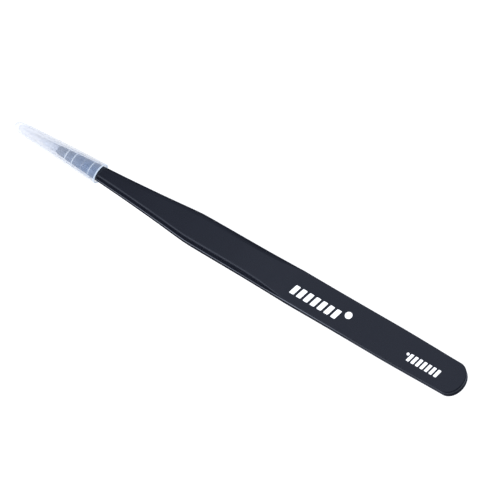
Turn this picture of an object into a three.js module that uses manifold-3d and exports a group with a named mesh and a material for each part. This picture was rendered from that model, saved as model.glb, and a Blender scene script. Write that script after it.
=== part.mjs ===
// Precision tweezers with a slip-on tip cap.
//
// Frame: millimetres, +Z up. The tweezers lie with their broad faces horizontal, the upper
// arm on top. The origin is the centre of the capped tweezers' overall box, on the centre line
// and halfway between the arms. +X runs from the tail to the tips, +Y is to the left when
// looking along +X. Every x below is counted from the tail end, and the outer group moves the
// whole object back by half its overall length.
//
// Two spring arms and a spacer plate are welded into a three-layer stack at the tail. Past the
// spacer each arm is free, bows slightly outwards and comes back to a fine point. A hollow,
// stepped plastic cap is pushed over the points and holds the arms nearly closed.
import * as THREE from 'three';
import { mergeVertices } from 'three/addons/utils/BufferGeometryUtils.js';
import ManifoldModule from 'manifold-3d';

// ---------------------------------------------------------------- driving dimensions (mm)
const LENGTH = 140.3;          // tail end to steel points
const TAIL_END = 3.3;          // length of the rounded tail end
const TAIL_HALF = 4.17;        // half the stack's width where that rounding begins
const TAIL_BLUNT_HALF = 0.3;   // half width of the flat at the very end of the tail
const TAIL_STEPS = 14;         // stations along the rounding

const FLEX_X = 34;             // where each arm starts to bend
const FLEX_GAP = 0.2;          // clearance between an arm's tail and its blade

const SPACER_HALF = 0.3;       // half the spacer plate's thickness
const SPACER_LENGTH = 30;      // tail end to the spacer's front edge
const SPACER_INSET = 0.06;     // step at the spacer's rim
const SPACER_START = 0.012;    // the spacer's blunt end, counted from its own rounding's apex

const SPOT_RADIUS = 1.6;       // fused spot between the plates
const SPOT_DEPTH = 0.3;        // how far the fused metal reaches into each arm
const SPOT_REAR_X = 9;
const SPOT_FRONT_X = 23;
const SPOT_SEGMENTS = 40;

const CAP_START = 113;         // open mouth of the cap
const CAP_END = 142.9;         // closed nose of the cap, and the overall length
const CAP_RIM_RADIUS = 2.95;   // half width over the small rim at the mouth
const CAP_RIM_BREAK = 0.07;    // chamfer on the rim's outer edge
const CAP_SEGMENTS = 56;

// ---------------------------------------------------------------- helpers
// smooth, overshoot-free curve through the rows of a table: x first, the value in `column`
function curve(table, x, column = 1) {
  const last = table.length - 1;
  if (x <= table[0][0]) return table[0][column];
  if (x >= table[last][0]) return table[last][column];

  const spans = [], slopes = [];
  for (let i = 0; i < last; i++) {
    spans.push(table[i + 1][0] - table[i][0]);
    slopes.push((table[i + 1][column] - table[i][column]) / spans[i]);
  }
  // tangents: level at a turning point, else the weighted harmonic mean of both slopes
  const tangents = [slopes[0]];
  for (let i = 1; i < last; i++) {
    const before = slopes[i - 1], after = slopes[i];
    if (before * after <= 0) {
      tangents.push(0);
    } else {
      const weightBefore = 2 * spans[i] + spans[i - 1];
      const weightAfter = spans[i] + 2 * spans[i - 1];
      tangents.push((weightBefore + weightAfter) / (weightBefore / before + weightAfter / after));
    }
  }
  tangents.push(slopes[last - 1]);

  let i = 0;
  while (x > table[i + 1][0]) i++;
  const t = (x - table[i][0]) / spans[i], t2 = t * t, t3 = t2 * t;
  return table[i][column] * (2 * t3 - 3 * t2 + 1)
    + spans[i] * tangents[i] * (t3 - 2 * t2 + t)
    + table[i + 1][column] * (3 * t2 - 2 * t3)
    + spans[i] * tangents[i + 1] * (t3 - t2);
}

// closed solid through the sections at the given x stations; sectionAt(x) returns
// [[y, z], ...], running anticlockwise when seen from +X
function loft(stations, sectionAt) {
  const sections = stations.map((x) => sectionAt(x));
  const count = sections[0].length;
  const positions = [], indices = [];
  sections.forEach((section, k) => {
    for (const [y, z] of section) positions.push(stations[k], y, z);
  });
  const last = (sections.length - 1) * count;
  for (let start = 0; start < last; start += count) {
    for (let i = 0; i < count; i++) {
      const here = start + i, next = start + (i + 1) % count;
      indices.push(here, next, here + count, next, next + count, here + count);
    }
  }
  for (let i = 1; i < count - 1; i++) {
    indices.push(0, i + 1, i);
    indices.push(last, last + i, last + i + 1);
  }
  return indexedGeometry(positions, indices);
}

function indexedGeometry(positions, indices) {
  const geometry = new THREE.BufferGeometry();
  geometry.setAttribute('position', new THREE.Float32BufferAttribute(positions, 3));
  geometry.setIndex(indices);
  geometry.computeVertexNormals();
  return geometry;
}

const manifold = await ManifoldModule();
manifold.setup();

function toManifold(geometry) {
  // normals and uvs would keep coincident vertices apart
  const bare = geometry.clone();
  bare.deleteAttribute('normal');
  bare.deleteAttribute('uv');
  const merged = mergeVertices(bare, 1e-5);
  const mesh = new manifold.Mesh({
    numProp: 3,
    vertProperties: new Float32Array(merged.getAttribute('position').array),
    triVerts: new Uint32Array(merged.getIndex().array),
  });
  mesh.merge();
  return new manifold.Manifold(mesh);
}

function subtract(geometry, tools) {
  let solid = toManifold(geometry);
  for (const tool of tools) solid = solid.subtract(toManifold(tool));
  const mesh = solid.getMesh();
  return indexedGeometry(mesh.vertProperties, Array.from(mesh.triVerts));
}

// ---------------------------------------------------------------- fused spots
// upright round prism through the spacer and into both arms; also cuts its own socket
function weldSpot(x) {
  const halfHeight = SPACER_HALF + SPOT_DEPTH;
  const outline = [];
  for (let i = 0; i < SPOT_SEGMENTS; i++) {
    const angle = 2 * Math.PI * i / SPOT_SEGMENTS;
    outline.push(new THREE.Vector2(
      x + SPOT_RADIUS * Math.cos(angle), SPOT_RADIUS * Math.sin(angle)));
  }
  const spot = new THREE.ExtrudeGeometry(new THREE.Shape(outline),
    { depth: 2 * halfHeight, bevelEnabled: false });
  return spot.translate(0, 0, -halfHeight);
}
const rearSpot = weldSpot(SPOT_REAR_X);
const frontSpot = weldSpot(SPOT_FRONT_X);
const cutSockets = (blank) => subtract(blank, [rearSpot, frontSpot]);

// ---------------------------------------------------------------- arms
// half width of an arm: [x, half width]
const HALF_WIDTH = [
  [TAIL_END, TAIL_HALF], [6.4, 4.21], [9.5, 4.27], [13.8, 4.36], [21.4, 4.45], [29, 4.44],
  [37, 4.44], [44.8, 4.47], [52.7, 4.49], [56.7, 4.465], [60.8, 4.40], [64.9, 4.35],
  [69, 4.325], [73.1, 4.31], [77.3, 4.285], [79.3, 4.265], [81.2, 4.23], [82.4, 4.17],
  [83.8, 4.07], [85.8, 3.905], [90, 3.535], [94.3, 3.18], [98.7, 2.86], [103, 2.57],
  [107.3, 2.31], [111.8, 2.06], [120.3, 1.52], [128.4, 0.98], [135.3, 0.51], [LENGTH, 0.16],
];
// height of the inner face above the mid plane: [x, z]
const INNER_Z = [
  [0, SPACER_HALF], [SPACER_LENGTH, SPACER_HALF], [FLEX_X, SPACER_HALF], [40, 0.32],
  [50, 0.38], [62, 0.43], [74, 0.45], [86, 0.44], [100, 0.41], [112, 0.36], [128, 0.26],
  [LENGTH, 0.16],
];
// thickness of an arm: [x, thickness]
const THICKNESS = [
  [0, 0.95], [FLEX_X, 0.95], [44, 0.96], [50, 1.00], [56, 1.18], [62, 1.34], [68, 1.42],
  [80, 1.42], [88, 1.38], [100, 1.30], [112, 1.14], [122, 0.88], [128, 0.68], [135, 0.42],
  [LENGTH, 0.28],
];
// long bevels on the outer edges: [x, reach across the broad face, drop down the side]
const BEVEL = [
  [0, 0.10, 0.10], [49.6, 0.10, 0.10], [51.8, 0.34, 0.27], [53.8, 0.55, 0.44],
  [55.7, 0.73, 0.58], [57.8, 0.88, 0.70], [59.8, 0.95, 0.76], [63.8, 1.00, 0.79],
  [68, 1.00, 0.79], [76.3, 0.95, 0.76], [84.8, 0.88, 0.70], [93.5, 0.87, 0.69],
  [102.3, 0.89, 0.69], [110.9, 0.92, 0.66], [116, 0.88, 0.60], [120.3, 0.78, 0.52],
  [128.3, 0.54, 0.38], [135.3, 0.28, 0.22], [LENGTH, 0.08, 0.08],
];
const BEVEL_REACH = 1, BEVEL_DROP = 2;   // columns of BEVEL
const BEVEL_MAX = 0.62;                  // largest reach, as a share of the half width
const RIDGE_START = 0.62;                // share of the bevel's reach where its flat ends
const RIDGE_END = 1.30;                  // same, where the broad face begins
const INNER_BREAK = 0.07;                // small break on the inner long edges
const INNER_BREAK_MAX = 0.4;             // largest break, as a share of the half width

function halfWidth(x) {
  if (x === 0) return TAIL_BLUNT_HALF;
  if (x < TAIL_END) return TAIL_HALF * Math.sqrt(1 - (1 - x / TAIL_END) ** 2);
  return curve(HALF_WIDTH, x);
}

function upperSection(x) {
  const width = halfWidth(x);
  const inner = curve(INNER_Z, x);
  const outer = inner + curve(THICKNESS, x);
  const reach = Math.min(curve(BEVEL, x, BEVEL_REACH), BEVEL_MAX * width);
  const drop = curve(BEVEL, x, BEVEL_DROP);
  const edge = Math.min(INNER_BREAK, INNER_BREAK_MAX * width);

  // the ridge between bevel and broad face is rounded through the middle of a quadratic
  // curve whose control point is the sharp corner [width - reach, outer]
  const startY = width - reach * RIDGE_START;
  const startZ = outer - drop * (1 - RIDGE_START);
  const endY = width - reach * RIDGE_END;
  const middleY = 0.25 * startY + 0.5 * (width - reach) + 0.25 * endY;
  const middleZ = 0.25 * startZ + 0.75 * outer;

  const left = [
    [width - edge, inner], [width, inner + edge], [width, outer - drop],
    [startY, startZ], [middleY, middleZ], [endY, outer],
  ];
  return [...left, ...left.map(([y, z]) => [-y, z]).reverse()];
}
const lowerSection = (x) => upperSection(x).map(([y, z]) => [y, -z]).reverse();

// x stations: the rounded end, then the stack behind the spacer's front edge
const roundEnd = [];
for (let i = 1; i <= TAIL_STEPS; i++) {
  roundEnd.push(TAIL_END * (1 - Math.cos(i * Math.PI / (2 * TAIL_STEPS))));
}
const STACK_STATIONS = [4.4, 5.2, 6.4, 9.5, 13.8, 17.5, 21.4, 25.5, SPACER_LENGTH];
const tailStations = [0, ...roundEnd, ...STACK_STATIONS, FLEX_X - FLEX_GAP / 2];
const BLADE_STATIONS = [
  FLEX_X + FLEX_GAP / 2, 37, 40, 43, 46, 48.4, 49.6, 50.7, 51.8, 52.8, 53.8, 54.8, 55.7, 56.7,
  57.8, 58.8, 59.8, 61.8, 63.8, 66, 68, 70.5, 73.1, 76.3, 78.5, 80, 81.2, 82.4, 83.2, 83.8,
  84.8, 85.8, 88, 90, 92, 94.3, 96.5, 98.7, 101, 103, 105, 107.3, 109.5, 111.8, 114, 116, 118,
  120.3, 122, 124, 126, 128, 130, 132.5, 135, 137, 138.8, 139.7, LENGTH,
];

const armTail = (sectionAt) => cutSockets(loft(tailStations, sectionAt));
const armBlade = (sectionAt) => loft(BLADE_STATIONS, sectionAt);

// ---------------------------------------------------------------- spacer plate
// follows the arms' outline, set back from it all round except at the front edge
function spacerSection(x) {
  const width = x < TAIL_END + SPACER_INSET
    ? halfWidth(x - SPACER_INSET) - SPACER_INSET / 2
    : halfWidth(x) - SPACER_INSET;
  return [
    [width, -SPACER_HALF], [width, SPACER_HALF], [-width, SPACER_HALF], [-width, -SPACER_HALF],
  ];
}
function spacerPlate() {
  const rounding = [SPACER_START, ...roundEnd].map((x) => x + SPACER_INSET);
  return cutSockets(loft([...rounding, ...STACK_STATIONS], spacerSection));
}

// ---------------------------------------------------------------- tip cap
// outside of the wall, mouth to nose: [x, half width]
const CAP_OUTSIDE = [
  [CAP_START, CAP_RIM_RADIUS - CAP_RIM_BREAK], [CAP_START + CAP_RIM_BREAK, CAP_RIM_RADIUS],
  [113.35, CAP_RIM_RADIUS], [113.5, 2.905], [115.5, 2.87], [117.3, 2.82], [119.1, 2.755],
  [120.9, 2.67], [122.7, 2.585], [124.6, 2.49], [126.4, 2.39], [128.2, 2.285], [130.1, 2.165],
  [131.9, 2.05], [133.7, 1.945], [135.5, 1.85], [137.3, 1.76], [139.2, 1.64], [140.1, 1.56],
  [141.0, 1.44], [141.7, 1.26], [142.3, 0.97], [142.68, 0.62], [142.86, 0.30], [CAP_END, 0],
];
// bore with its ring steps, mouth to blind end: [x, half width]
const CAP_INSIDE = [
  [CAP_START, 2.60], [113.25, 2.54], [115.7, 2.49], [115.75, 2.43], [118.3, 2.38],
  [118.35, 2.32], [121.5, 2.22], [121.55, 2.16], [124.0, 2.06], [124.05, 2.00], [129.5, 1.77],
  [129.55, 1.71], [132.3, 1.59], [135.3, 1.46], [138.7, 1.28], [140.1, 1.10], [140.9, 0.80],
  [141.3, 0.45], [141.45, 0],
];
// the soft cap is pressed flat by the arms: [x, height of its section over its width]
const CAP_OVAL = [
  [CAP_START, 0.72], [119, 0.72], [126, 0.80], [133, 0.92], [139, 1], [CAP_END, 1],
];

function tipCap() {
  const profile = [...CAP_INSIDE.slice().reverse(), ...CAP_OUTSIDE]
    .map(([x, radius]) => new THREE.Vector2(radius, x));
  const cap = new THREE.LatheGeometry(profile, CAP_SEGMENTS);
  cap.rotateZ(-Math.PI / 2);   // lathe axis from +Y to +X
  const position = cap.getAttribute('position');
  for (let i = 0; i < position.count; i++) {
    position.setZ(i, position.getZ(i) * curve(CAP_OVAL, position.getX(i)));
  }
  cap.computeVertexNormals();
  return cap;
}

// ---------------------------------------------------------------- materials
const coated = new THREE.MeshStandardMaterial({
  color: 0x15171c, roughness: 0.38, metalness: 0.05,
});
const bareSteel = new THREE.MeshStandardMaterial({
  color: 0x9a9da2, roughness: 0.42, metalness: 0.95,
});
const fused = new THREE.MeshStandardMaterial({
  color: 0x7f7c78, roughness: 0.6, metalness: 0.9,
});
const frosted = new THREE.MeshStandardMaterial({
  color: 0xdfe8f4, roughness: 0.35, metalness: 0,
  transparent: true, opacity: 0.35, side: THREE.DoubleSide,
});

// ---------------------------------------------------------------- scene graph
function part(name, geometry, material) {
  const mesh = new THREE.Mesh(geometry, material);
  mesh.name = name;
  return mesh;
}

const tailStack = new THREE.Group();
tailStack.add(
  part('upper_arm_tail', armTail(upperSection), coated),
  part('lower_arm_tail', armTail(lowerSection), coated),
  part('tail_spacer', spacerPlate(), bareSteel),
  part('spot_weld_rear', rearSpot, fused),
  part('spot_weld_front', frontSpot, fused),
);

const tweezers = new THREE.Group();
tweezers.add(
  tailStack,
  part('upper_arm_blade', armBlade(upperSection), coated),
  part('lower_arm_blade', armBlade(lowerSection), coated),
  part('tip_cap', tipCap(), frosted),
);
tweezers.position.x = -CAP_END / 2;

export default tweezers;
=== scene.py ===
# Precision tweezers with a slip-on tip cap, lying along X: tail at low x, points at high x.
# The two arms lie above and below the plane z = 0 and are symmetrical about y = 0.
# Dimensions are in millimetres, with arm x measured from the tail end and cap x from its mouth;
# meshes, materials and the stage are in metres in the row frame.
import math

import bpy
import bmesh
import numpy as np
from mathutils import Matrix, Vector


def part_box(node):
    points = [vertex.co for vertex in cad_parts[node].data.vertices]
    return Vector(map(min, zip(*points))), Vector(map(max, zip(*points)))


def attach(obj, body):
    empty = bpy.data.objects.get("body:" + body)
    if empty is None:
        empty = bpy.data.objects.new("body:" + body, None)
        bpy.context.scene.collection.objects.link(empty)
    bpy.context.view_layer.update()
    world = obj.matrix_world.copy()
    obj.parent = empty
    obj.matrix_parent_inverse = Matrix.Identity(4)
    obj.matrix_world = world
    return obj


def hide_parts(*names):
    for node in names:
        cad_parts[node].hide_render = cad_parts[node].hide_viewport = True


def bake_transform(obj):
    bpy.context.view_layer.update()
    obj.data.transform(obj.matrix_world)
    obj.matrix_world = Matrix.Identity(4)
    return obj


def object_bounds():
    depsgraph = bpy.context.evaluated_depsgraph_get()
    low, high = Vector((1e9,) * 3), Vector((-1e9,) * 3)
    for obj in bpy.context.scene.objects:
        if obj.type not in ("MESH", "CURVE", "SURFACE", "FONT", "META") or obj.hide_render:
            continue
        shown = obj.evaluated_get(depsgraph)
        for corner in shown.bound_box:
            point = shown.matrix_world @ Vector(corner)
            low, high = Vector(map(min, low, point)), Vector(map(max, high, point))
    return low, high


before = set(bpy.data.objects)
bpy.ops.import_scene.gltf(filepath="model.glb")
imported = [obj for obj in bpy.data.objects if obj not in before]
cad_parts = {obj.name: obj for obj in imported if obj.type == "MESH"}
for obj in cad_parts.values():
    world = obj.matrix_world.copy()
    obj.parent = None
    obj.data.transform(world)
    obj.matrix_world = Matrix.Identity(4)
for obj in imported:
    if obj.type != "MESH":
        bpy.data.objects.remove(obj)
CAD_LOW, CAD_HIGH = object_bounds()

MM = 0.001
TAIL_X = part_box("upper_arm_tail")[0].x
CAP_LOW, CAP_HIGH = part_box("tip_cap")
LENGTH = (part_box("upper_arm_blade")[1].x - TAIL_X) / MM     # tail end to steel points


def row_x(x_mm):
    """Row-frame x in metres of a station along the arm."""
    return TAIL_X + x_mm * MM


# ------------------------------------------------------------------ arm design tables
TAIL_END, TAIL_HALF = 3.3, 4.17      # length and half width of the rounded tail end
TIP_RADIUS = 0.16
# (x, half width in plan)
HALF_WIDTH = [
    (TAIL_END, TAIL_HALF), (6.4, 4.21), (9.5, 4.27), (13.8, 4.36), (21.4, 4.45), (29, 4.44),
    (37, 4.44), (44.8, 4.47), (52.7, 4.49), (56.7, 4.465), (60.8, 4.40), (64.9, 4.35),
    (69, 4.325), (73.1, 4.31), (77.3, 4.285), (79.3, 4.265), (81.2, 4.23), (82.4, 4.17),
    (83.8, 4.07), (85.8, 3.905), (90, 3.535), (94.3, 3.18), (98.7, 2.86), (103, 2.57),
    (107.3, 2.31), (111.8, 2.06), (120.3, 1.52), (128.4, 0.98), (135.3, 0.51), (140.3, 0.16)]
# (x, height of the inner face above the plane between the arms)
INNER_Z = [
    (0, 0.30), (30, 0.30), (34, 0.30), (40, 0.32), (50, 0.38), (62, 0.43), (74, 0.45),
    (86, 0.44), (100, 0.41), (112, 0.36), (128, 0.26), (140.3, 0.16)]
# (x, thickness)
THICKNESS = [
    (0, 0.95), (34, 0.95), (44, 0.96), (50, 1.00), (56, 1.18), (62, 1.34), (68, 1.42),
    (80, 1.42), (88, 1.38), (100, 1.30), (112, 1.14), (122, 0.88), (128, 0.68), (135, 0.42),
    (140.3, 0.28)]
# (x, width of the bevel) and (x, depth of the bevel) along the outer edge
BEVEL_Y = [
    (0, 0.10), (49.6, 0.10), (51.8, 0.34), (53.8, 0.55), (55.7, 0.73), (57.8, 0.88),
    (59.8, 0.95), (63.8, 1.00), (68, 1.00), (76.3, 0.95), (84.8, 0.88), (93.5, 0.87),
    (102.3, 0.89), (110.9, 0.92), (116, 0.88), (120.3, 0.78), (128.3, 0.54), (135.3, 0.28),
    (140.3, 0.08)]
BEVEL_Z = [
    (0, 0.10), (49.6, 0.10), (51.8, 0.27), (53.8, 0.44), (55.7, 0.58), (57.8, 0.70),
    (59.8, 0.76), (63.8, 0.79), (68, 0.79), (76.3, 0.76), (84.8, 0.70), (93.5, 0.69),
    (102.3, 0.69), (110.9, 0.66), (116, 0.60), (120.3, 0.52), (128.3, 0.38), (135.3, 0.22),
    (140.3, 0.08)]
COAT_END = 127.5          # the coating stops here and the fine points are bare steel
COAT_STEP = 0.045         # how far the bare steel sits below the coating
COAT_STEP_HALF = 0.06     # half the length of that step
# (start, stop, step) of the outline stations, closer together where the shape turns
STATION_RUNS = [
    (TAIL_END + 0.4, 30.0, 0.8), (30.0, 49.0, 0.6), (49.0, 64.0, 0.3),
    (64.0, 79.0, 0.6), (79.0, 87.0, 0.35), (87.0, 126.8, 0.75)]
COAT_STATIONS = (-0.4, -0.2, -0.1, -0.06, -0.03, 0, 0.03, 0.06, 0.1, 0.2, 0.5)   # about COAT_END
TAIL_SEGMENTS, TIP_SEGMENTS = 26, 7


def curve(keys, x):
    """Smooth curve without overshoot through (x, value) keys."""
    xs, ys = zip(*keys)
    if x <= xs[0]:
        return ys[0]
    if x >= xs[-1]:
        return ys[-1]
    spans = [b - a for a, b in zip(xs, xs[1:])]
    slopes = [(b - a) / span for a, b, span in zip(ys, ys[1:], spans)]
    tangents = [slopes[0]]
    for i in range(1, len(spans)):
        before, after = slopes[i - 1], slopes[i]
        if before * after <= 0:
            tangents.append(0.0)
        else:
            weight_before = 2 * spans[i] + spans[i - 1]
            weight_after = spans[i] + 2 * spans[i - 1]
            tangents.append((weight_before + weight_after)
                            / (weight_before / before + weight_after / after))
    tangents.append(slopes[-1])
    i = 0
    while x > xs[i + 1]:
        i += 1
    span = spans[i]
    t = (x - xs[i]) / span
    return (ys[i] * (2 * t ** 3 - 3 * t ** 2 + 1)
            + span * tangents[i] * (t ** 3 - 2 * t ** 2 + t)
            + ys[i + 1] * (3 * t ** 2 - 2 * t ** 3)
            + span * tangents[i + 1] * (t ** 3 - t ** 2))


def coat_loss(x):
    """How far the surface sits below the coated one: nothing on the coating, then one step."""
    t = (x - COAT_END + COAT_STEP_HALF) / (2 * COAT_STEP_HALF)
    t = min(1.0, max(0.0, t))
    return COAT_STEP * t * t * (3 - 2 * t)


def inner_z(x):
    return curve(INNER_Z, x) + coat_loss(x)


def outer_z(x):
    return curve(INNER_Z, x) + curve(THICKNESS, x) - coat_loss(x)


# ------------------------------------------------------------------ mesh helpers
def new_object(name, verts, faces, smooth_shade=True):
    mesh = bpy.data.meshes.new(name)
    mesh.from_pydata([tuple(v) for v in verts], [], [tuple(f) for f in faces])
    bm = bmesh.new()
    bm.from_mesh(mesh)
    bmesh.ops.remove_doubles(bm, verts=bm.verts, dist=2e-7)
    bmesh.ops.dissolve_degenerate(bm, edges=bm.edges, dist=1e-8)
    bmesh.ops.recalc_face_normals(bm, faces=bm.faces)
    bm.to_mesh(mesh)
    bm.free()
    mesh.validate()
    for face in mesh.polygons:
        face.use_smooth = smooth_shade
    return link_object(name, mesh)


def link_object(name, data):
    made = bpy.data.objects.new(name, data)
    bpy.context.scene.collection.objects.link(made)
    return made


def weighted_normals(target):
    modifier = target.modifiers.new("weighted", "WEIGHTED_NORMAL")
    modifier.keep_sharp = True
    modifier.weight = 60


def bezier_corner(start, corner, end, count):
    """count points (a, b) rounding the corner, from start to end."""
    points = []
    for i in range(count):
        t = i / (count - 1)
        weights = (1 - t) ** 2, 2 * t * (1 - t), t * t
        points.append(tuple(sum(w * p[axis] for w, p in zip(weights, (start, corner, end)))
                            for axis in (0, 1)))
    return points


# ------------------------------------------------------------------ arm skins
def edge_profile(x, reach):
    """Points (inset from the rim, height) from the inner face, round the edge, to the outer face.

    reach is the distance from the rim to the middle of the arm; the profile stays within it.
    """
    inner, outer = inner_z(x), outer_z(x)
    bevel_y = min(curve(BEVEL_Y, x), 0.62 * reach)
    bevel_z = curve(BEVEL_Z, x)
    slope = math.hypot(bevel_y, bevel_z)
    run, rise = bevel_y / slope, bevel_z / slope
    side_top = outer - bevel_z
    side = side_top - inner
    # extent of the rounding at the inner edge, at the foot of the bevel and at its ridge
    inner_round = min(0.09, 0.38 * side)
    foot_round = min(0.15, 0.34 * slope, 0.40 * side)
    ridge_round = min(0.50, 0.40 * slope + 0.02)
    flat = min(ridge_round, max(0.02, 0.8 * (0.9 * reach - bevel_y)))
    foot = (run * foot_round, side_top + rise * foot_round)
    ridge = (bevel_y - run * ridge_round, outer - rise * ridge_round)

    points = [(inner_round + 0.14, inner)]
    points += bezier_corner((inner_round, inner), (0, inner), (0, inner + inner_round), 5)
    points += bezier_corner((0, side_top - foot_round), (0, side_top), foot, 5)
    points += [(foot[0] + (ridge[0] - foot[0]) * k / 3, foot[1] + (ridge[1] - foot[1]) * k / 3)
               for k in (1, 2)]
    points += bezier_corner(ridge, (bevel_y, outer), (bevel_y + flat, outer), 9)
    points += [(bevel_y + flat + 0.12, outer), (bevel_y + flat + 0.45, outer)]
    fit = min(1.0, 0.93 * reach / max(inset for inset, _ in points))
    return [(inset * fit, z) for inset, z in points]


def arm_outline():
    """Plan outline from the tail apex round the +Y side to the tip apex: (x, y, reach)."""
    points = []
    for i in range(TAIL_SEGMENTS + 1):
        angle = math.pi / 2 * i / TAIL_SEGMENTS
        points.append((TAIL_END * (1 - math.cos(angle)), TAIL_HALF * math.sin(angle), TAIL_END))
    stations = [x for run in STATION_RUNS for x in np.arange(*run)]
    stations += [COAT_END + offset for offset in COAT_STATIONS]
    stations += list(np.arange(COAT_END + 1.0, LENGTH - TIP_RADIUS - 0.3, 0.6))
    stations.append(LENGTH - TIP_RADIUS - 0.15)
    for x in stations:
        half = curve(HALF_WIDTH, x) - coat_loss(x)
        points.append((x, half, half))
    tip = curve(HALF_WIDTH, LENGTH - TIP_RADIUS) - coat_loss(LENGTH)
    for i in range(TIP_SEGMENTS + 1):
        angle = math.pi / 2 * i / TIP_SEGMENTS
        points.append((LENGTH - tip + tip * math.sin(angle), tip * math.cos(angle), tip))
    return points


def arm_skin(name, side):
    """One spring arm as a single closed skin. side +1 is the upper arm, -1 the lower one."""
    outline = arm_outline()
    last = len(outline) - 1
    tangent = np.gradient(np.array([(x, y) for x, y, _ in outline]), axis=0)
    tangent /= np.linalg.norm(tangent, axis=1)[:, None]
    inward = np.stack([tangent[:, 1], -tangent[:, 0]], -1)
    inward[0] = (1, 0)
    inward[-1] = (-1, 0)

    verts, index = [], {}      # index: (station, profile point, Y side) -> vertex
    for i, (x, y, reach) in enumerate(outline):
        profile = edge_profile(min(max(x, 0), LENGTH), reach)
        for j, (inset, z) in enumerate(profile):
            vert_x = x + inward[i][0] * inset
            vert_y = 0.0 if i in (0, last) else y + inward[i][1] * inset
            for s in (1, -1):
                if vert_y == 0.0 and s == -1:
                    index[i, j, -1] = index[i, j, 1]
                    continue
                index[i, j, s] = len(verts)
                verts.append((row_x(vert_x), s * vert_y * MM, side * z * MM))
    profile_last = len(profile) - 1
    faces = []

    def add_face(*corners):
        """Adds a face, without the corners that the two sides share at an apex."""
        distinct = list(dict.fromkeys(index[corner] for corner in corners))
        if len(distinct) >= 3:
            faces.append(distinct)

    for i in range(last):
        for j in range(profile_last):
            for s in (1, -1):
                add_face((i, j, s), (i + 1, j, s), (i + 1, j + 1, s), (i, j + 1, s))
        for j in (0, profile_last):      # across the inner and outer faces
            add_face((i, j, 1), (i + 1, j, 1), (i + 1, j, -1), (i, j, -1))
    return new_object(name, verts, faces)


def build_arm(label, side, coating):
    arm = arm_skin(label + "_arm", side)
    arm.data.materials.append(coating)
    arm.data.materials.append(POINT_STEEL)
    for face in arm.data.polygons:
        if face.center.x > row_x(COAT_END + 0.005):
            face.material_index = 1
    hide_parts(label + "_arm_tail", label + "_arm_blade")
    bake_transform(arm)
    weighted_normals(arm)


# ------------------------------------------------------------------ shader graph helper
class Graph:
    """Fills a node tree. Wherever a node takes an input, it may be a value or a socket to link."""

    def __init__(self, tree):
        self.tree = tree
        tree.nodes.clear()

    def node(self, kind, inputs=None, **settings):
        """Adds a node; inputs maps socket names or numbers to values or sockets."""
        made = self.tree.nodes.new("ShaderNode" + kind)
        for key, value in settings.items():
            setattr(made, key, value)
        for key, value in (inputs or {}).items():
            if isinstance(value, bpy.types.NodeSocket):
                self.tree.links.new(value, made.inputs[key])
            else:
                made.inputs[key].default_value = value
        return made

    def math(self, operation, *operands):
        return self.node("Math", dict(enumerate(operands)), operation=operation).outputs[0]

    def remap(self, value, source, target=(0.0, 1.0), **settings):
        """Maps the range source onto the range target."""
        inputs = {"Value": value, "From Min": source[0], "From Max": source[1],
                  "To Min": target[0], "To Max": target[1]}
        return self.node("MapRange", inputs, **settings).outputs["Result"]

    def position(self, scale=(1, 1, 1)):
        coords = self.node("TexCoord").outputs["Object"]
        return self.node("Mapping", {"Scale": scale, "Vector": coords}).outputs["Vector"]

    def split(self, vector):
        return self.node("SeparateXYZ", {0: vector}).outputs

    def noise(self, vector, scale, detail, roughness):
        inputs = {"Vector": vector, "Scale": scale, "Detail": detail, "Roughness": roughness}
        return self.node("TexNoise", inputs).outputs["Fac"]

    def ramp(self, factor, stops):
        """Colour ramp through (position, colour) stops."""
        made = self.node("ValToRGB", {"Fac": factor})
        elements = made.color_ramp.elements
        while len(elements) > 1:
            elements.remove(elements[-1])
        elements[0].position, elements[0].color = stops[0][0], (*stops[0][1], 1)
        for position, color in stops[1:]:
            elements.new(position).color = (*color, 1)
        return made.outputs["Color"]

    def bump(self, height, strength, distance):
        inputs = {"Height": height, "Strength": strength, "Distance": distance}
        return self.node("Bump", inputs).outputs["Normal"]

    def mix(self, factor, first, second):
        return self.node("MixShader", {0: factor, 1: first, 2: second}).outputs[0]

    def principled(self, inputs):
        self.surface(self.node("BsdfPrincipled", inputs).outputs["BSDF"])

    def surface(self, shader):
        self.node("OutputMaterial", {"Surface": shader})


def new_material(name):
    made = bpy.data.materials.new(name)
    made.use_nodes = True
    return made, Graph(made.node_tree)


# ------------------------------------------------------------------ materials
def coating_material(name, free_rim_painted_shade):
    """Satin black coating with faint orange peel and cloudy gloss.

    free_rim_painted_shade is the specular level taken off the rim of the free arm: painted shade
    that darkens the rim's reflection as the shadowed table would.
    """
    coating, graph = new_material(name)
    place = graph.position()
    cloud = graph.noise(place, scale=160.0, detail=4.0, roughness=0.55)
    peel = graph.noise(place, scale=2600.0, detail=2.0, roughness=0.5)
    speck = graph.noise(place, scale=9000.0, detail=1.0, roughness=0.5)
    color = graph.ramp(cloud, [(0.30, (0.0034, 0.0042, 0.0080)), (0.70, (0.0046, 0.0056, 0.0102))])
    # painted shade: faces that stand upright are the rim, whose specular level is turned down on
    # the welded tail and, by the given amount, on the free arm, darkening its reflection as the
    # shadowed table would
    normal = graph.split(graph.node("NewGeometry").outputs["True Normal"])
    along = graph.split(graph.node("TexCoord").outputs["Object"])
    rim = graph.remap(graph.math("ABSOLUTE", normal["Z"]), source=(0.35, 0.75), target=(1.0, 0.0))
    rim_painted_shade = graph.remap(along["X"], source=(row_x(30), row_x(50)),
                          target=(0.475, free_rim_painted_shade))
    specular = graph.math("SUBTRACT", 0.5, graph.math("MULTIPLY", rim, rim_painted_shade))
    height = graph.math("ADD", peel, graph.math("MULTIPLY", speck, 0.25))
    graph.principled({
        "Base Color": color,
        "Roughness": graph.remap(cloud, source=(0.3, 0.7), target=(0.24, 0.30)),
        "Specular IOR Level": specular,
        "IOR": 1.5,
        "Normal": graph.bump(height, strength=0.35, distance=0.000006)})
    return coating


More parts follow.
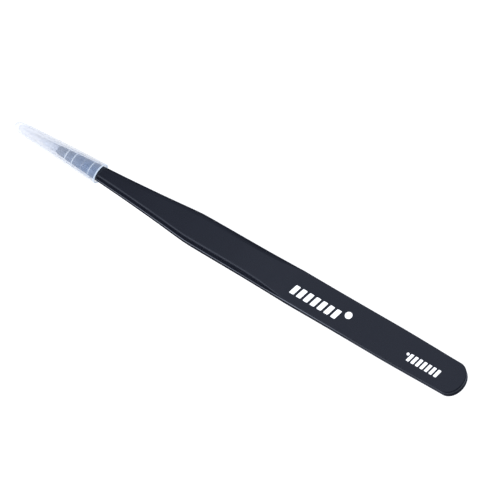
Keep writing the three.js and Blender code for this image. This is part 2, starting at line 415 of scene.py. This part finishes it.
def steel_material(name, tint, roughness, mark_scale, metallic=1.0):
    """Stainless steel with fine marks; mark_scale is their fineness along X, Y and Z."""
    steel, graph = new_material(name)
    marks = graph.noise(graph.position(mark_scale), scale=8.0, detail=5.0, roughness=0.6)
    color = graph.ramp(marks, [(0.3, tuple(c * 0.86 for c in tint)), (0.7, tint)])
    # painted shade: faces turned to -Y are darkened, down to 0.45 of the colour, as if that side
    # lay in shade
    normal = graph.split(graph.node("NewGeometry").outputs["True Normal"])
    painted_side_shade = graph.remap(normal["Y"], source=(-0.55, -0.20), target=(0.45, 1.0))
    shaded = graph.node("VectorMath", {0: color, "Scale": painted_side_shade}, operation="SCALE").outputs[0]
    graph.principled({
        "Metallic": metallic,
        "Base Color": shaded,
        "Roughness": graph.remap(marks, source=(0.3, 0.7), target=roughness),
        "Normal": graph.bump(marks, strength=0.25, distance=0.000004)})
    return steel


def ink_material():
    """White printing ink: slightly uneven cover, matt."""
    ink, graph = new_material("white_ink")
    cover = graph.noise(graph.position(), scale=5200.0, detail=3.0, roughness=0.6)
    graph.principled({
        "Base Color": graph.ramp(cover, [(0.25, (0.66, 0.66, 0.65)), (0.6, (0.80, 0.80, 0.79))]),
        "Roughness": 0.55,
        "Normal": graph.bump(cover, strength=0.3, distance=0.000008)})
    return ink


def cap_material(name, square_on, edge_on, mouth, nose, rim, through=(1.0, 1.0, 1.0)):
    """Thin frosted plastic: part of the light goes straight on and the rest scatters.

    square_on and edge_on are the scattering share by viewing angle, mouth and nose the
    scattering colour at the low-x and high-x ends of the cap, rim the colour seen edge-on,
    and through the colour of the light that goes straight on.
    """
    plastic, graph = new_material(name)
    place = graph.position()
    cloud = graph.noise(place, scale=700.0, detail=3.0, roughness=0.55)
    grain = graph.noise(place, scale=6500.0, detail=2.0, roughness=0.5)
    normal = graph.bump(grain, strength=0.25, distance=0.000008)
    facing = graph.node("LayerWeight", {"Blend": 0.5}).outputs["Facing"]

    # colour: mouth to nose with a cloudy border, paler edge-on
    along = graph.remap(graph.split(place)["X"], source=(CAP_LOW.x, CAP_HIGH.x))
    clouded = graph.math("ADD", along, graph.math("MULTIPLY_ADD", cloud, 0.20, -0.10))
    body = graph.ramp(clouded, [(0.0, mouth), (0.12, mouth), (0.70, nose)])
    turned = graph.remap(facing, source=(0.10, 0.55))
    color = graph.node("Mix", {"Factor": turned, 6: body, 7: (*rim, 1)},
                       data_type="RGBA").outputs[2]
    diffuse, translucent = (
        graph.node(kind, {"Color": color, "Normal": normal}).outputs[0]
        for kind in ("BsdfDiffuse", "BsdfTranslucent"))
    scatter = graph.mix(0.5, diffuse, translucent)
    clear = graph.node("BsdfTransparent", {"Color": (*through, 1)}).outputs[0]

    # scattering share: the moulded nose is thicker and hides the points more
    by_angle = graph.remap(facing, source=(0.15, 1.0), target=(square_on, edge_on))
    thicker = graph.remap(along, source=(0.42, 0.80), target=(0.0, 0.14))
    share = graph.math("MULTIPLY_ADD", cloud, 0.03, graph.math("ADD", by_angle, thicker))
    wall = graph.mix(share, clear, scatter)

    # faint sheen, only on faces turned to the viewer
    sheen = graph.node("BsdfGlossy", {"Roughness": 0.30, "Normal": normal}).outputs[0]
    strength = graph.math("MULTIPLY_ADD", graph.math("POWER", facing, 4.0), 0.25, 0.065)
    front = graph.math("SUBTRACT", 1.0, graph.node("NewGeometry").outputs["Backfacing"])
    graph.surface(graph.mix(graph.math("MULTIPLY", strength, front), wall, sheen))
    return plastic


COATING = coating_material("black_coating", free_rim_painted_shade=0.0)
# painted shade: a copy of the coating for the lower arm, its whole rim darkened in reflection as
# if it sat nearer the shadowed table
SHADED_LOWER_COATING = coating_material("black_coating_underside_shaded", free_rim_painted_shade=0.50)
POINT_STEEL = steel_material(
    "brushed_points", tint=(0.74, 0.74, 0.75), roughness=(0.30, 0.45),
    mark_scale=(60, 900, 900), metallic=0.70)
FUSED_STEEL = steel_material(
    "fused_spot", tint=(0.36, 0.35, 0.34), roughness=(0.5, 0.68), mark_scale=(500, 500, 500))
INK = ink_material()
CAP_WALL = cap_material(
    "frosted_plastic", square_on=0.26, edge_on=0.36, mouth=(0.46, 0.62, 0.92),
    nose=(0.80, 0.82, 0.87), rim=(0.66, 0.69, 0.75), through=(1.0, 0.99, 0.97))
CAP_RIM = cap_material(
    "frosted_rim", square_on=0.80, edge_on=0.85, mouth=(0.76, 0.86, 0.96),
    nose=(0.84, 0.88, 0.92), rim=(0.72, 0.78, 0.85))
# painted highlight: whiter, more opaque copies of the plastic for the narrow bands at the bore's
# steps, standing in for the light the steps catch; the crease copy is the brighter
CAP_CREASE_GLINT = cap_material(
    "frosted_crease_glint", square_on=0.80, edge_on=0.85, mouth=(0.92, 1.0, 1.0),
    nose=(0.92, 0.95, 1.0), rim=(0.84, 0.89, 0.96))
CAP_STEP_GLINT = cap_material(
    "frosted_step_glint", square_on=0.36, edge_on=0.55, mouth=(0.70, 0.78, 0.92),
    nose=(0.86, 0.89, 0.94), rim=(0.88, 0.90, 0.94), through=(1.0, 1.0, 0.98))

# ------------------------------------------------------------------ arms and tail stack
build_arm("upper", 1, COATING)
build_arm("lower", -1, SHADED_LOWER_COATING)

# the spacer's rim is coated with the rest of the stack; the fused spots stay hidden inside it
for piece, finish in (("tail_spacer", COATING), ("spot_weld_rear", FUSED_STEEL),
                      ("spot_weld_front", FUSED_STEEL)):
    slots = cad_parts[piece].data.materials
    slots.clear()
    slots.append(finish)


# ------------------------------------------------------------------ printed marks
INK_TOP, INK_FOOT = 0.022, 0.03      # height above the coating and depth sunk in it
INK_SHOULDER = 0.035                 # how far the top draws in from the outline
STRIPES = 7                          # in each mark


def rounded_polygon(corners, reach, segments=4):
    """Outline of a convex polygon, its corners rounded from reach before to reach after."""
    outline = []
    for i, corner in enumerate(corners):
        before, corner, after = (Vector(corners[(i + k) % len(corners)]) for k in (-1, 0, 1))
        start = corner + (before - corner).normalized() * reach
        end = corner + (after - corner).normalized() * reach
        outline += bezier_corner(start, corner, end, segments + 1)
    return outline


def stripe_row(first_x, pitch, width, low_y, high_y, lean):
    """Leaning stripes with rounded corners, side by side along the arm."""
    row = []
    for i in range(STRIPES):
        x = first_x + pitch * i
        corners = [(x, low_y), (x + width, low_y), (x + width + lean, high_y), (x + lean, high_y)]
        row.append(rounded_polygon(corners, 0.22 * min(width, 1.2)))
    return row


def disc(x, y, radius, segments):
    angles = [2 * math.pi * i / segments for i in range(segments)]
    return [(x + radius * math.cos(a), y + radius * math.sin(a)) for a in angles]


def printed_mark(name, shapes):
    """Raised ink shapes on the upper face, each with a small shoulder and a sunk foot."""
    verts, faces = [], []
    for outline in shapes:
        count = len(outline)
        middle_x = sum(p[0] for p in outline) / count
        middle_y = sum(p[1] for p in outline) / count
        rings = []
        for inset, lift in ((0.0, -INK_FOOT), (0.0, 0.45 * INK_TOP), (INK_SHOULDER, INK_TOP)):
            ring = []
            for x, y in outline:
                scale = max(0.0, 1 - inset / math.hypot(x - middle_x, y - middle_y))
                ink_x = middle_x + (x - middle_x) * scale
                ink_y = middle_y + (y - middle_y) * scale
                ring.append(len(verts))
                verts.append((row_x(ink_x), ink_y * MM, (outer_z(ink_x) + lift) * MM))
            rings.append(ring)
        for low, high in zip(rings, rings[1:]):
            for i in range(count):
                j = (i + 1) % count
                faces.append((low[i], low[j], high[j], high[i]))
        faces.append(rings[0][::-1])
        faces.append(rings[-1])
    mark = new_object(name, verts, faces, smooth_shade=False)
    mark.data.materials.append(INK)
    return mark


# tail mark: small stripes with a dot at the high-x end
tail_mark = printed_mark(
    "printed_mark_tail",
    stripe_row(first_x=6.0, pitch=1.3, width=0.82, low_y=0.0, high_y=2.1, lean=0.35)
    + [disc(x=15.35, y=0.5, radius=0.38, segments=28)])
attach(tail_mark, "tail_stack")

# grip mark: a disc, then larger stripes
grip_mark = printed_mark(
    "printed_mark_grip",
    [disc(x=33.5, y=-0.35, radius=0.95, segments=40)]
    + stripe_row(first_x=35.4, pitch=2.08, width=1.35, low_y=-0.35, high_y=2.25, lean=0.55))
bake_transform(grip_mark)

# ------------------------------------------------------------------ tip cap
# (x from the mouth, radius across Y) of the outside and of the stepped bore
CAP_OUTSIDE = [
    (0.0, 2.855), (0.03, 2.91), (0.08, 2.94), (0.15, 2.95), (0.33, 2.95), (0.42, 2.935),
    (0.50, 2.91), (1.5, 2.89), (2.5, 2.87), (4.3, 2.82), (6.1, 2.755), (7.9, 2.67),
    (9.7, 2.585), (11.6, 2.49), (13.4, 2.39), (15.2, 2.285), (17.1, 2.165), (18.9, 2.05),
    (20.7, 1.945), (22.5, 1.85), (24.3, 1.76), (26.2, 1.64), (27.1, 1.56), (28.0, 1.44),
    (28.45, 1.36), (28.85, 1.235), (29.2, 1.07), (29.45, 0.89), (29.65, 0.68), (29.79, 0.45),
    (29.87, 0.24), (29.895, 0.10), (29.9, 0.0)]
CAP_BORE = [
    (0.0, 2.64), (0.05, 2.59), (0.15, 2.56), (0.3, 2.54), (2.60, 2.49), (2.68, 2.465),
    (2.76, 2.43), (5.20, 2.38), (5.28, 2.355), (5.36, 2.32), (8.40, 2.22), (8.48, 2.195),
    (8.56, 2.16), (10.90, 2.06), (10.98, 2.035), (11.06, 2.00), (16.40, 1.77), (16.48, 1.745),
    (16.56, 1.71), (19.3, 1.59), (22.3, 1.46), (25.7, 1.28), (27.1, 1.10), (27.6, 0.97),
    (28.0, 0.78), (28.28, 0.52), (28.41, 0.26), (28.45, 0.0)]
# (x, section height over width)
CAP_OVAL = [(0, 0.72), (6, 0.72), (13, 0.80), (20, 0.92), (26, 1.0), (29.9, 1.0)]
CAP_MATERIALS = (CAP_WALL, CAP_RIM, CAP_STEP_GLINT, CAP_CREASE_GLINT)
RIM_SLOT, STEP_SLOT, CREASE_SLOT = 1, 2, 3
# (start, end, material slot) of the bore's steps; each step's bands get a painted highlight, a
# whiter and more opaque plastic, brightest on the creases
BORE_STEPS = [
    (2.60, 2.76, CREASE_SLOT), (5.20, 5.36, STEP_SLOT), (8.40, 8.56, CREASE_SLOT),
    (10.90, 11.06, CREASE_SLOT), (16.40, 16.56, STEP_SLOT)]
STEP_MARGIN = 0.11       # narrow band either side of each step
RIM_END = 0.32           # the rim material reaches this far from the mouth
CAP_SEGMENTS = 120


def cap_profile():
    """Points (x, radius) from the nose along the outside to the mouth and back up the bore."""
    bore = list(CAP_BORE)
    for start, end, _ in BORE_STEPS:
        for x in (start - STEP_MARGIN, end + STEP_MARGIN):
            i = next(k for k in range(len(bore) - 1) if bore[k][0] < x < bore[k + 1][0])
            (x0, r0), (x1, r1) = bore[i], bore[i + 1]
            bore.insert(i + 1, (x, r0 + (r1 - r0) * (x - x0) / (x1 - x0)))
    profile = []
    for wall in (CAP_OUTSIDE[::-1], bore):
        for (x0, r0), (x1, r1) in zip(wall, wall[1:]):
            profile.append((x0, r0))
            # extra rings along long straight runs keep the skin even
            if abs(x1 - x0) > 0.9:
                count = int(abs(x1 - x0) / 0.7)
                profile += [(x0 + (x1 - x0) * (i / count), r0 + (r1 - r0) * (i / count))
                            for i in range(1, count)]
        profile.append(wall[-1])
    return profile


def build_cap():
    verts, faces, rings = [], [], []
    for x, radius in cap_profile():
        first = len(verts)
        if radius < 1e-6:
            verts.append((CAP_LOW.x + x * MM, 0, 0))
        else:
            oval = curve(CAP_OVAL, x)
            for i in range(CAP_SEGMENTS):
                angle = 2 * math.pi * (i + 0.5) / CAP_SEGMENTS
                verts.append((CAP_LOW.x + x * MM, radius * MM * math.cos(angle),
                              radius * MM * oval * math.sin(angle)))
        rings.append(range(first, len(verts)))
    for a, b in zip(rings, rings[1:]):
        for i in range(CAP_SEGMENTS):
            j = (i + 1) % CAP_SEGMENTS
            if len(a) == 1:
                faces.append((a[0], b[i], b[j]))
            elif len(b) == 1:
                faces.append((a[i], b[0], a[j]))
            else:
                faces.append((a[i], b[i], b[j], a[j]))
    skin = new_object("tip_cap_skin", verts, faces)
    for plastic in CAP_MATERIALS:
        skin.data.materials.append(plastic)
    for face in skin.data.polygons:
        x = (face.center.x - CAP_LOW.x) / MM
        in_bore = face.normal.y * face.center.y + face.normal.z * face.center.z < 0
        if x < RIM_END:
            face.material_index = RIM_SLOT
        elif in_bore:
            for start, end, slot in BORE_STEPS:
                if start - STEP_MARGIN <= x <= end + STEP_MARGIN:
                    face.material_index = slot
    return skin


cap = build_cap()
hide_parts("tip_cap")
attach(cap, "cap")
weighted_normals(cap)

# ------------------------------------------------------------------ floor
FLOOR_HALF = 3.0
FLOOR_DROP = 0.0031      # leaves room for the lower arm, which opens downwards


def build_floor():
    bm = bmesh.new()
    bmesh.ops.create_grid(bm, x_segments=8, y_segments=8, size=FLOOR_HALF)
    mesh = bpy.data.meshes.new("floor")
    bm.to_mesh(mesh)
    bm.free()
    floor = link_object("floor", mesh)
    floor.location.z = CAP_LOW.z - FLOOR_DROP
    pale, graph = new_material("pale_floor")
    diffuse = graph.node("BsdfDiffuse", {"Color": (0.32, 0.32, 0.32, 1)}).outputs[0]
    glow = graph.node("Emission", {"Color": (1, 1, 1, 1), "Strength": 0.78}).outputs[0]
    graph.surface(graph.node("AddShader", {0: diffuse, 1: glow}).outputs[0])
    floor.data.materials.append(pale)
    floor.visible_glossy = False


build_floor()

# ------------------------------------------------------------------ world
# Soft patches of light seen in reflections: (direction, angle of full light, angle where it
# is gone, strength), angles in degrees from the direction
PATCHES = [
    ((0.26, -0.18, 0.95), 9.5, 20.5, 0.74),     # overhead scrim, mirrored by the broad faces
    ((0.45, 0.36, 0.81), 5, 19, 2.00),          # strip box, mirrored by the rounded ridges
    ((0.45, 0.30, -0.86), 20, 80, 0.85),        # white table seen by the +Y rims
    ((-0.44, -0.10, -0.86), 10, 50, 0.40),      # white table seen by the rim of the tail end
    ((0.45, -0.88, -0.05), 10, 40, 0.06),       # white table seen by the -Y bevels
    ((0.44, -0.66, 0.58), 6, 26, 0.30),         # pale wall seen by the -Y ridges
]
PATCH_BASE = 0.05        # light between the patches
ROOM_LEVEL = 0.62        # even light that matt and frosted surfaces gather
BACKDROP_LEVEL = 1.25    # what the camera sees directly
WORLD_COLOR = (0.88, 0.97, 1.20, 1)


def build_world():
    world = bpy.data.worlds.new("studio")
    bpy.context.scene.world = world
    world.use_nodes = True
    world.cycles.sampling_method = "NONE"
    graph = Graph(world.node_tree)
    direction = graph.node("VectorMath", {0: graph.node("TexCoord").outputs["Generated"]},
                           operation="NORMALIZE").outputs[0]
    patches = graph.math("ADD", PATCH_BASE, 0.0)
    for toward, full_angle, gone_angle, strength in PATCHES:
        closeness = graph.node("VectorMath", {0: direction, 1: tuple(Vector(toward).normalized())},
                               operation="DOT_PRODUCT").outputs["Value"]
        patch = graph.remap(
            closeness,
            source=(math.cos(math.radians(gone_angle)), math.cos(math.radians(full_angle))),
            target=(0.0, strength), interpolation_type="SMOOTHSTEP")
        patches = graph.math("ADD", patches, patch)
    rays = graph.node("LightPath").outputs
    camera_ray = graph.math("MULTIPLY", rays["Is Camera Ray"], 1.0)
    room = graph.math("MULTIPLY", rays["Is Diffuse Ray"], ROOM_LEVEL)
    other_ray = graph.math("SUBTRACT", graph.math("SUBTRACT", 1.0, camera_ray),
                           rays["Is Diffuse Ray"])
    lit = graph.math("ADD", graph.math("MULTIPLY", patches, other_ray), room)
    total = graph.math("ADD", lit, graph.math("MULTIPLY", camera_ray, BACKDROP_LEVEL))
    background = graph.node("Background", {"Color": WORLD_COLOR, "Strength": total}).outputs[0]
    graph.node("OutputWorld", {"Surface": background})


build_world()

# ------------------------------------------------------------------ lights and camera
CENTRE = (CAD_LOW + CAD_HIGH) / 2


def softbox(name, location, diameter, energy):
    """A round lamp turned to the centre of the tweezers and unseen in reflections."""
    light = bpy.data.lights.new(name, "AREA")
    light.shape = "DISK"
    light.size = diameter
    light.energy = energy
    lamp = link_object(name, light)
    lamp.location = location
    lamp.rotation_mode = "QUATERNION"
    lamp.rotation_quaternion = (CENTRE - Vector(location)).to_track_quat("-Z", "Y")
    lamp.visible_glossy = False


softbox("key_softbox", location=(0.15, 0.60, 0.58), diameter=0.60, energy=8.2)
softbox("fill_softbox", location=(-0.40, -0.80, 0.50), diameter=0.90, energy=12.0)

CAMERA_LENS, CAMERA_SENSOR = 150.70104, 36.0            # both in mm
CAMERA_DISTANCE = 0.520
CAMERA_SHIFT = Vector((0.00015, 0, 0))
CAMERA_BACK = Vector((-0.44, 0.25, 0.862496))           # from the tweezers to the camera
CAMERA_RIGHT = Vector((-0.77546554, -0.59010878, -0.22455473))
# slopes of the aim to the right and downwards: the tweezers sit a little left of the middle
AIM_RIGHT, AIM_DOWN = 0.01152374, 0.001423746


def build_camera():
    data = bpy.data.cameras.new("camera")
    camera = link_object("camera", data)
    data.sensor_width = CAMERA_SENSOR
    data.lens = CAMERA_LENS
    data.clip_start, data.clip_end = 0.01, 20
    up = CAMERA_BACK.cross(CAMERA_RIGHT)
    look = (-CAMERA_BACK + CAMERA_RIGHT * AIM_RIGHT - up * AIM_DOWN).normalized()
    right = (CAMERA_RIGHT - look * CAMERA_RIGHT.dot(look)).normalized()
    axes = Matrix((right, right.cross(look), -look)).transposed()
    place = CENTRE + CAMERA_SHIFT + CAMERA_BACK * CAMERA_DISTANCE
    camera.matrix_world = Matrix.Translation(place) @ axes.to_4x4()
    bpy.context.scene.camera = camera


build_camera()
bpy.context.scene.view_settings.view_transform = "Standard"
bpy.context.scene.view_settings.look = "None"
